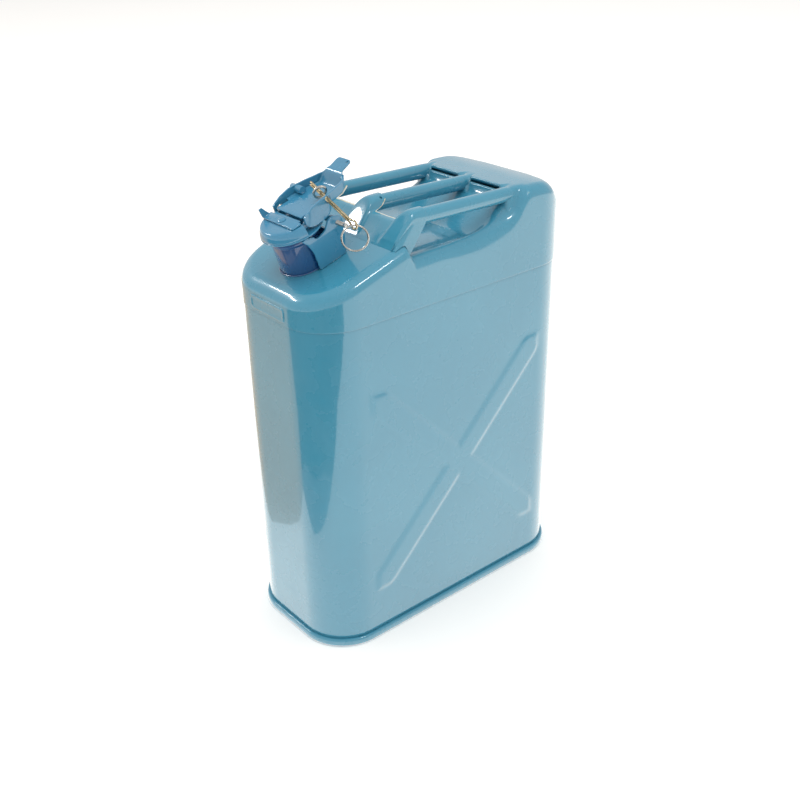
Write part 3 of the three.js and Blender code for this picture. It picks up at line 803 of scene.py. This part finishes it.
def mark_wear(piece):
    """A wear attribute, high along the rear edges between the bars and strongest on the left."""
    attribute = piece.data.attributes.new("wear", "FLOAT", "POINT")
    for i, v in enumerate(piece.data.vertices):
        x, y = v.co.x / MM, v.co.y / MM
        across = np.array([x])
        inner = float(step(7.0, 10.0, near_bar(across))[0]) * float(abs(x) < BAR_SPACING)
        reach = 5.5 if x < 0 else 2.5
        attribute.data[i].value = inner * (1.0 - float(step(0.3, reach, bracket_rear(across)[0] - y)))


# ---------- spout and hinge plates ----------
def build_neck():
    inner = NECK_R - NECK_WALL
    return turned("spout", [(inner, 0.2), (NECK_R, 0.2), (NECK_R, 30.5),
                            (LIP_R, 32.6), (LIP_R, 35.4), (NECK_R + 0.4, NECK_TOP), (inner, NECK_TOP)])


def build_collar():
    inner = NECK_R + 0.3
    profile = [(inner, 0.2), (inner + 1.3, 0.2), (inner + 0.9, 1.0), (inner, 1.4)]
    return turned("spout_weld", profile, edge=0.5)


HOOK_OUTLINE = [(48, 0.3), (48, 11.5), (47.9, 16.8), (46.7, 22.8), (44, 30.3), (39.3, 36.9), (44.3, 38.2),
                (52.6, 35.0), (54, 31.9), (58.1, 31.3), (66.9, 33.8), (73.2, 41.6), (79, 42.4), (85, 40.6),
                (88.2, 36.5), (88.4, 31), (85.5, 18), (80, 0.3)]


def build_hooks():
    made = {}
    outline = rounded(HOOK_OUTLINE, 1.5, 4)
    for side, low in (("right", HOOK_X), ("left", -HOOK_X - HOOK_T)):
        made[side] = plate(f"hook_{side}", outline, low, low + HOOK_T, edge=0.5)
    return made


def build_hinge_pin():
    low, high = -HOOK_X - HOOK_T - 3, 44.0
    span = high - low
    head = 2.6 / span
    tip = 0.7 / span
    pin = [(0.0, HINGE_R + 1.2), (0.3 / span, HINGE_R + 1.8), (head * 0.8, HINGE_R + 1.9),
           (head, HINGE_R + 1.4), (head + 0.1 / span, HINGE_R), (1 - 4 / span, HINGE_R),
           (1 - 3.6 / span, HINGE_R - 0.35), (1 - 2.8 / span, HINGE_R - 0.35),
           (1 - 2.4 / span, HINGE_R), (1 - tip, HINGE_R), (1.0, HINGE_R - 0.7)]
    return pin_along_x("hinge_rod", low, high, HINGE_U, HINGE_W, pin)


# ---------- cap ----------
def build_lid():
    disc = turned("lid_disc", [(0.01, LID_BOTTOM), (LID_R - 0.6, LID_BOTTOM), (LID_R, LID_BOTTOM + 0.9),
                               (LID_R - 0.2, LID_TOP - 0.1), (LID_R - 1.6, LID_TOP),
                               (0.01, LID_TOP)], edge=0.7)
    dome = turned("lid_dome", [(0.01, LID_TOP - 0.8), (LID_R - 0.8, LID_TOP - 0.8),
                               (LID_R - 0.3, LID_TOP + 1.8), (LID_R - 1.2, LID_TOP + 5.6),
                               (LID_R - 3.6, PAD_TOP - 0.3), (LID_R - 6.5, PAD_TOP),
                               (0.01, PAD_TOP)], edge=2.2)
    work = bmesh.new()
    work.from_mesh(dome.data)
    plane = Vector(closure(0, PAD_REAR_U, 45) * MM)
    normal = Vector((0, math.cos(BEVEL), math.sin(BEVEL)))
    geom = list(work.verts) + list(work.edges) + list(work.faces)
    cutting = bmesh.ops.bisect_plane(work, geom=geom, plane_co=plane, plane_no=normal, clear_outer=True)
    rim = [e for e in cutting["geom_cut"] if isinstance(e, bmesh.types.BMEdge)]
    bmesh.ops.holes_fill(work, edges=rim)
    work.to_mesh(dome.data)
    work.free()
    soften(dome, 0.7, 3)
    return join("cap_disc", disc, dome)


BRIDGE_ARM = [(38, 51.8), (38, 47.5), (43, 45.2), (50, 43.4), (60, 42.4), (70, 41.6), (72.8, 41),
              (76.8, 36), (76.8, 31.5), (80, 29.2), (84.5, 29.2), (87.2, 32), (87.1, 36.5), (84, 39.4),
              (70, 46), (63.2, 51), (60.5, 52.5), (56.5, 52.7), (53.5, 51), (51.5, 48.8), (49.5, 48.6),
              (47.5, 50.6), (47.4, 51.8)]


def build_bridge():
    low = PAD_TOP + 0.3
    parts = []
    outline = [(-24.7, 36.4), (24.7, 36.4), (25, 47.4), (20.4, 47.6), (20.4, 50.2), (-20.4, 50.2),
               (-20.4, 47.6), (-25, 47.4)]
    ring = rounded(outline, [1.4, 1.4, 1.4, 0.3, 0.3, 0.3, 0.3, 1.4], 4)
    rows = []
    for h, inset in ((low, 0.3), (low + 0.3, 0.0), (PLATE_TOP - 0.5, 0.0),
                     (PLATE_TOP - 0.12, 0.18), (PLATE_TOP, 0.6)):
        centre = np.array([0.0, 41.9])
        rows.append([closure(*(centre + (np.asarray(p) - centre) * (1 - inset / np.array([25, 5.7]))), h)
                     for p in ring])
    parts.append(grid("plate", rows, closed=True, caps=True))
    for side in (-1, 1):
        start = ARM_X if side > 0 else -ARM_X - ARM_T
        parts.append(plate("arm", rounded(BRIDGE_ARM, 1.1, 4), start, start + ARM_T,
                           holes=[(HINGE_U, HINGE_W, HINGE_R + 0.2)]))
    parts.append(build_ear())
    return join("cap_clamp", *parts)


def build_ear():
    """The upturned end of the clamp plate."""
    rows = []
    for t in np.linspace(0, 1, 9):
        lift = 9.4 * t ** 1.6
        x = -24.1 - 0.9 * t
        u0, u1 = 36.4 - 1.0 * t, 45.5 - 6.5 * t ** 1.3
        rows.append([closure(x, u0 + (u1 - u0) * s, PLATE_TOP - 0.6 + lift)
                     for s in np.linspace(0, 1, 6)])
    ear = thicken(grid("ear", rows), 1.5, 0.0)
    return soften(ear, 0.4)


def build_lid_rivet():
    return turned("clamp_rivet", [(0.01, PLATE_TOP - 0.3), (4.6, PLATE_TOP - 0.3),
                                  (4.7, PLATE_TOP + 0.5), (3.4, PLATE_TOP + 1.6),
                                  (0.01, PLATE_TOP + 2.0)], u=42.0, segments=48, edge=1.0)


def build_lever_rivet(side):
    x0, x1 = EAR_X + EAR_T - 0.4, EAR_X + EAR_T + 1.7
    profile = [(0.0, 4.4), (0.35, 4.5), (0.6, 4.3), (0.82, 3.4),
               (0.9, 2.4), (0.86, 1.9), (0.7, 1.5), (0.62, 0.9)]
    if side < 0:
        x0, x1 = -x0, -x1
    return pin_along_x(f"rivet_{'right' if side > 0 else 'left'}", x0, x1, PIVOT_U, PIVOT_W, profile)


# ---------- lever ----------
def half_width(u):
    """Outer half width of the lever along its length."""
    return np.interp(u, [51, 74, 80, 92, 108, 112.5, 116, 140], [25, 25, 24.4, 21.9, 17.4, 13.5, 10, 10])


def smooth_width(u):
    return float(np.mean([half_width(u + d) for d in (-2, -1, 0, 1, 2)]))


def wall_top(u):
    stations = [51, 53, 62.5, 74, 90, 104, 110, 114.5]
    heights = [54.9, 56.4, 60.5, 62.6, 62.7, 62.3, 62.6, 64.4]
    return float(np.interp(u, stations, heights))


def wall_low(u):
    ear = np.interp(u, [51.4, 52.4, 54, 57, 62, 68, 72.5, 78, 81.5, 83.5, 85.5],
                    [48.8, 46.2, 44.6, 43.2, 42.4, 42.3, 42.7, 44.2, 46.6, 49.6, 53.0])
    floor = np.interp(u, [85, 103.5, 106.5, 112, 114.5], [FLOOR_LOW, FLOOR_LOW, 55.6, 63.4, 64.6])
    return float(ear if u < 85.5 else floor)


def lever_floor(u):
    """Top of the lever's floor, which rises to the thumb tab."""
    return float(np.interp(u, [51.5, 53, 103.5, 105.5, 112.2, 114, 130.5],
                           [54.2, FLOOR_LOW + LEVER_T, FLOOR_LOW + LEVER_T, 55.8, 65.4, 66.7, 71.0]))


def smooth_floor(u):
    return float(np.mean([lever_floor(u + d) for d in (-1.5, -0.75, 0, 0.75, 1.5)]))


def build_lever():
    parts = [lever_tray(), lever_wall(1), lever_wall(-1)]
    return join("lever_channel", *parts)


def lever_tray():
    """Floor and tab in one sheet."""
    rows = []
    stations = np.concatenate([np.linspace(51.8, 103, 34), np.linspace(104, 115, 12),
                               np.linspace(116, 129.6, 14)])
    for u in stations:
        inner = smooth_width(u) - (1.0 if u < 113 else 0.0)
        if u > 126:
            inner = 10 - 3.6 * (1 - math.sqrt(max(0.0, 1 - ((u - 126) / 3.9) ** 2)))
        z = smooth_floor(u)
        rows.append([closure(inner * s, u, z + (1.0 * max(0, abs(s) - 0.9) * 10 if u < 112 else 0))
                     for s in np.linspace(-1, 1, 41)])
    tray = grid("tray", rows)
    carve(tray, [(s * (EAR_X + 20.7) / 2, 56.8, 1.6, 10.0) for s in (-1, 1)])
    tray = thicken(tray, LEVER_T, -1.0)
    cut(tray, punch(closure(7.0, 126.6, 64.2), closure(7.0, 126.6, 76.2), 1.5))
    return soften(tray, 0.3)


def carve(piece, slots):
    """Clears the slots beside the floor that the bridge arms stand in."""
    work = bmesh.new()
    work.from_mesh(piece.data)
    doomed = []
    for f in work.faces:
        c = f.calc_center_median() / MM
        u = (c.y + LENGTH / 2) * math.cos(BEVEL) + (c.z - BEVEL_Z) * math.sin(BEVEL)
        if any(abs(c.x - x) < half_x and abs(u - mid) < half_u for x, mid, half_x, half_u in slots):
            doomed.append(f)
    bmesh.ops.delete(work, geom=doomed, context="FACES")
    work.to_mesh(piece.data)
    work.free()


def punch(a, b, radius, sides=32):
    """A cylinder between two points, used as a cutting tool."""
    a, b = Vector(a * MM), Vector(b * MM)
    work = bmesh.new()
    turn = (b - a).to_track_quat("Z", "Y").to_matrix().to_4x4()
    bmesh.ops.create_cone(work, cap_ends=True, segments=sides, radius1=radius * MM, radius2=radius * MM,
                          depth=(b - a).length, matrix=Matrix.Translation((a + b) / 2) @ turn)
    mesh = bpy.data.meshes.new("punch")
    work.to_mesh(mesh)
    work.free()
    tool = bpy.data.objects.new("punch", mesh)
    bpy.context.scene.collection.objects.link(tool)
    return tool


def lever_wall(side):
    rows = []
    stations = np.concatenate([np.linspace(51.4, 54, 6), np.linspace(55, 86, 32), np.linspace(87, 114.5, 22)])
    for u in stations:
        x = side * smooth_width(u)
        low, high = wall_low(u), wall_top(u)
        rows.append([closure(x, u, low + (high - low) * t) for t in np.linspace(0, 1, 15)])
    wall = grid("wall", rows)
    wall = thicken(wall, EAR_T)
    cut(wall, punch(closure(side * 15, PIN_U, PIN_W), closure(side * 32, PIN_U, PIN_W), 3.8))
    return soften(wall, 0.45)


# ---------- lock pin, eye and ring ----------
pin_hole = closure(EAR_X + EAR_T, PIN_U, PIN_W)
pin_axis = np.array([math.cos(PIN_DROOP), 0, -math.sin(PIN_DROOP)])
pin_up = np.array([math.sin(PIN_DROOP), 0, math.cos(PIN_DROOP)])


def pin_point(along, up):
    return pin_hole + pin_axis * along + pin_up * up


def build_lock_pin():
    half, out, loop = 1.3, 43.0, 4.0
    points = [pin_point(-28, half), pin_point(-14, half), pin_point(0, half), pin_point(16, half),
              pin_point(out - 12, half), pin_point(out - 6, half + 0.6)]
    for turn in np.radians(np.arange(120, -121, -20)):
        points.append(pin_point(out + loop * math.cos(turn), loop * math.sin(turn)))
    points += [pin_point(out - 6, -half - 0.6), pin_point(out - 12, -half), pin_point(16, -half),
               pin_point(0, -half), pin_point(-14, -half), pin_point(-27, -half)]
    return wire("safety_pin", smooth_path(points, 6), 1.1)


def build_eye():
    centre = pin_point(-12.5, 0)
    turn = math.radians(20)
    across = np.array([math.sin(turn), math.cos(turn), 0])
    ring = [centre + EYE_R * (math.cos(a) * across + math.sin(a) * pin_up)
            for a in np.linspace(0, 2 * math.pi, 48, endpoint=False)]
    loop = wire("eye_loop", ring, 1.3, closed=True)
    d = centre - np.array([0, -LENGTH / 2, BEVEL_Z])
    u = d[1] * math.cos(BEVEL) + d[2] * math.sin(BEVEL)
    w = -d[1] * math.sin(BEVEL) + d[2] * math.cos(BEVEL)
    foot = closure(centre[0], u, FLOOR_LOW + LEVER_T + 0.2)
    head = closure(centre[0], u, w - EYE_R)
    stem = wire("eye_stem", [foot, (foot + head) / 2, head], 1.3)
    base = turned("eye_base", [(0.01, FLOOR_LOW + LEVER_T - 0.3), (2.6, FLOOR_LOW + LEVER_T - 0.3),
                               (2.4, FLOOR_LOW + LEVER_T + 0.7), (0.01, FLOOR_LOW + LEVER_T + 1.0)],
                  u=u, segments=32, edge=0.4)
    base.data.transform(Matrix.Translation((centre[0] * MM, 0, 0)))
    return join("pin_eye", loop, stem, base)


def build_ring():
    hang = pin_point(43.6, 0)
    turn = math.radians(51)
    across = np.array([math.cos(turn), math.sin(turn), 0])
    centre = hang - np.array([0, 0, 12.5])
    points = [centre + 12.5 * (math.cos(a) * across + math.sin(a) * np.array([0, 0, 1]))
              for a in np.linspace(0, 2 * math.pi, 96, endpoint=False)]
    return wire("pull_ring", points, 1.0, closed=True)


# ---------- assembly ----------
finish_piece(build_body(), "root", "body_enamel", ["tank_body"])
finish_piece(build_chime(), "root", "body_enamel", ["base_chime"])
finish_piece(build_pan(), "root", "body_enamel", ["base_pan"])
finish_piece(build_cover(), "root", "body_enamel", ["top_cover"])
finish_piece(build_panel(), "root", "body_enamel")
for side_name, bar_x in zip(("left", "middle", "right"), BAR_PLACES):
    finish_piece(build_bar(side_name, bar_x), "root", "body_enamel", [f"handle_bar_{side_name}"])
finish_piece(build_bracket(), "root", "body_enamel", ["handle_bracket"], WORN_PAINT)
# The spout and its weld ring take the darkened spout paint, which is painted shade and painted dark
# reflection.
finish_piece(build_neck(), "root", "spout_enamel", ["neck_tube"])
finish_piece(build_collar(), "root", "spout_enamel", ["neck_collar"])
for side_name, hook in build_hooks().items():
    finish_piece(hook, "root", "body_enamel", [f"hook_plate_{side_name}"], CLOSURE_PAINT)
finish_piece(build_hinge_pin(), "root", "zinc_steel", ["hinge_pin"])
finish_piece(build_lid(), "cap", "body_enamel", ["cap_lid"], CLOSURE_PAINT)
finish_piece(build_bridge(), "cap", "body_enamel", ["cap_bridge"], CLOSURE_PAINT)
finish_piece(build_lid_rivet(), "cap", "zinc_steel", ["lid_rivet"], CLOSURE_PAINT)
finish_piece(build_lever_rivet(1), "cap", "zinc_steel", ["lever_rivet_right"])
finish_piece(build_lever_rivet(-1), "cap", "zinc_steel", ["lever_rivet_left"])
finish_piece(build_lever(), "lever", "body_enamel", ["cam_lever"], CLOSURE_PAINT)
finish_piece(build_eye(), "lever", "zinc_steel", ["lock_eye"])
finish_piece(build_lock_pin(), "pin", "pin_metal", ["lock_pin"])
finish_piece(build_ring(), "ring", "zinc_steel", ["lock_ring"])

for node, node_paint in (("hinge_web", CLOSURE_PAINT), ("cap_gasket", RUBBER), ("gasket_retainer", ZINC),
                         ("breather_tube", ZINC)):
    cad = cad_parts[node]
    cad.data.materials.clear()
    cad.data.materials.append(node_paint)


# ---------- floor, light and camera ----------
def build_floor():
    floor = make_object("floor", [(-6000, -6000, 0), (6000, -6000, 0), (6000, 6000, 0), (-6000, 6000, 0)],
                        [(0, 1, 2, 3)], smooth=False)
    floor.location.z = -0.0002
    material, nodes, links, shader = new_material("floor_white")
    coords = add(nodes, links, "ShaderNodeTexCoord").outputs["Object"]
    tone = remap(nodes, links, noise(nodes, links, coords, 3.0, 3.0), 0.3, 0.7, 0.0, 1.0)
    base = mix_color(nodes, links, tone, (0.94, 0.92, 0.89, 1), (0.95, 0.93, 0.90, 1))
    links.new(base, shader.inputs["Base Color"])
    shader.inputs["Roughness"].default_value = 0.9
    shader.inputs["Specular IOR Level"].default_value = 0.0
    shader.inputs["Emission Color"].default_value = (1, 1, 1, 1)
    shader.inputs["Emission Strength"].default_value = 0.22
    floor.data.materials.append(material)


def area_light(name, place, target, size, power, color=(1, 1, 1)):
    light = bpy.data.lights.new(name, "AREA")
    light.shape = "RECTANGLE"
    light.size, light.size_y = size
    light.energy = power
    light.color = color
    lamp = bpy.data.objects.new(name, light)
    lamp.location = place
    lamp.rotation_euler = (Vector(target) - Vector(place)).to_track_quat("-Z", "Y").to_euler()
    bpy.context.scene.collection.objects.link(lamp)
    return lamp


def glossy_card(name, corners, lift, color, strength):
    """A card on the floor that only shows in reflections on the paint."""
    outline = [(x / MM, y / MM, lift) for x, y in corners]
    card = make_object(name, outline, [tuple(range(len(corners)))], smooth=False)
    material, _, _, shader = new_material(name)
    shader.inputs["Base Color"].default_value = (0, 0, 0, 1)
    shader.inputs["Specular IOR Level"].default_value = 0.0
    shader.inputs["Emission Color"].default_value = (*color, 1)
    shader.inputs["Emission Strength"].default_value = strength
    card.data.materials.append(material)
    card.visible_camera = False
    card.visible_diffuse = False
    card.visible_shadow = False
    card.visible_transmission = False


def build_light():
    world = bpy.data.worlds.new("studio")
    bpy.context.scene.world = world
    world.use_nodes = True
    nodes, links = world.node_tree.nodes, world.node_tree.links
    back = nodes["Background"]
    back.inputs["Color"].default_value = (1, 1, 1, 1)
    way = add(nodes, links, "ShaderNodeTexCoord").outputs["Generated"]
    rise = add(nodes, links, "ShaderNodeSeparateXYZ", {"Vector": way}).outputs["Z"]
    links.new(remap(nodes, links, rise, 0.44, 0.66, 0.72, 0.60), back.inputs["Strength"])
    aim = (0.08, -0.12, 0.42)
    sharp = [area_light("edge_right", (1.40, 0.23, 2.15), aim, (0.4, 0.15), 5),
             area_light("edge_front", (-1.45, -1.2, 1.6), aim, (0.9, 0.14), 11)]
    for lamp in sharp:
        lamp.visible_diffuse = False
    soft = area_light("overhead", (0, 0, 5), (0, 0, 0), (6, 6), 185)
    soft.visible_glossy = False
    glossy_card("bright_card", [(-3, -3), (3, -3), (3, 3), (-3, 3)], 1.0, (1.0, 0.97, 0.92), 1.6)
    glossy_card("dark_card", [(-0.16, -0.42), (0.00, -0.38), (0.25, -0.42), (0.57, -0.42), (0.95, -0.22),
                              (2.20, -0.50), (2.00, -2.20), (-1.80, -2.20), (-0.60, -0.74), (-0.30, -0.60)],
                2.0, (0.02, 0.03, 0.03), 1.0)
    glossy_card("dim_card", [(-0.19, -0.44), (0.00, -0.37), (0.30, -0.42), (0.20, -0.50), (-0.12, -0.52)],
                2.5, (0.42, 0.44, 0.46), 1.0)
    glossy_card("warm_card", [(-0.16, -0.42), (-0.30, -0.60), (-0.60, -0.74), (-1.80, -2.20), (-2.60, -1.60),
                              (-2.20, 0.20), (-0.50, -0.10), (-0.16, -0.28)], 2.0, (1.0, 0.72, 0.46), 0.95)
    bpy.context.scene.view_settings.view_transform = "Standard"


def build_camera():
    azimuth, elevation, roll = math.radians(50.63), math.radians(27.67), math.radians(-1.20)
    target = Vector((0, 0, 0.2384))
    back = Vector((math.sin(azimuth) * math.cos(elevation), -math.cos(azimuth) * math.cos(elevation),
                   math.sin(elevation)))
    right = Vector((math.cos(azimuth), math.sin(azimuth), 0))
    up = back.cross(right)
    across = right * math.cos(roll) + up * math.sin(roll)
    upward = up * math.cos(roll) - right * math.sin(roll)
    data = bpy.data.cameras.new("camera")
    data.sensor_width = 36
    data.lens = 47.81
    camera = bpy.data.objects.new("camera", data)
    camera.matrix_world = Matrix((
        (across.x, upward.x, back.x, 0), (across.y, upward.y, back.y, 0), (across.z, upward.z, back.z, 0),
        (0, 0, 0, 1)))
    camera.location = target + across * -0.00798 + upward * -0.01285 + back * 1.1981
    bpy.context.scene.collection.objects.link(camera)
    bpy.context.scene.camera = camera


build_floor()
build_light()
build_camera()
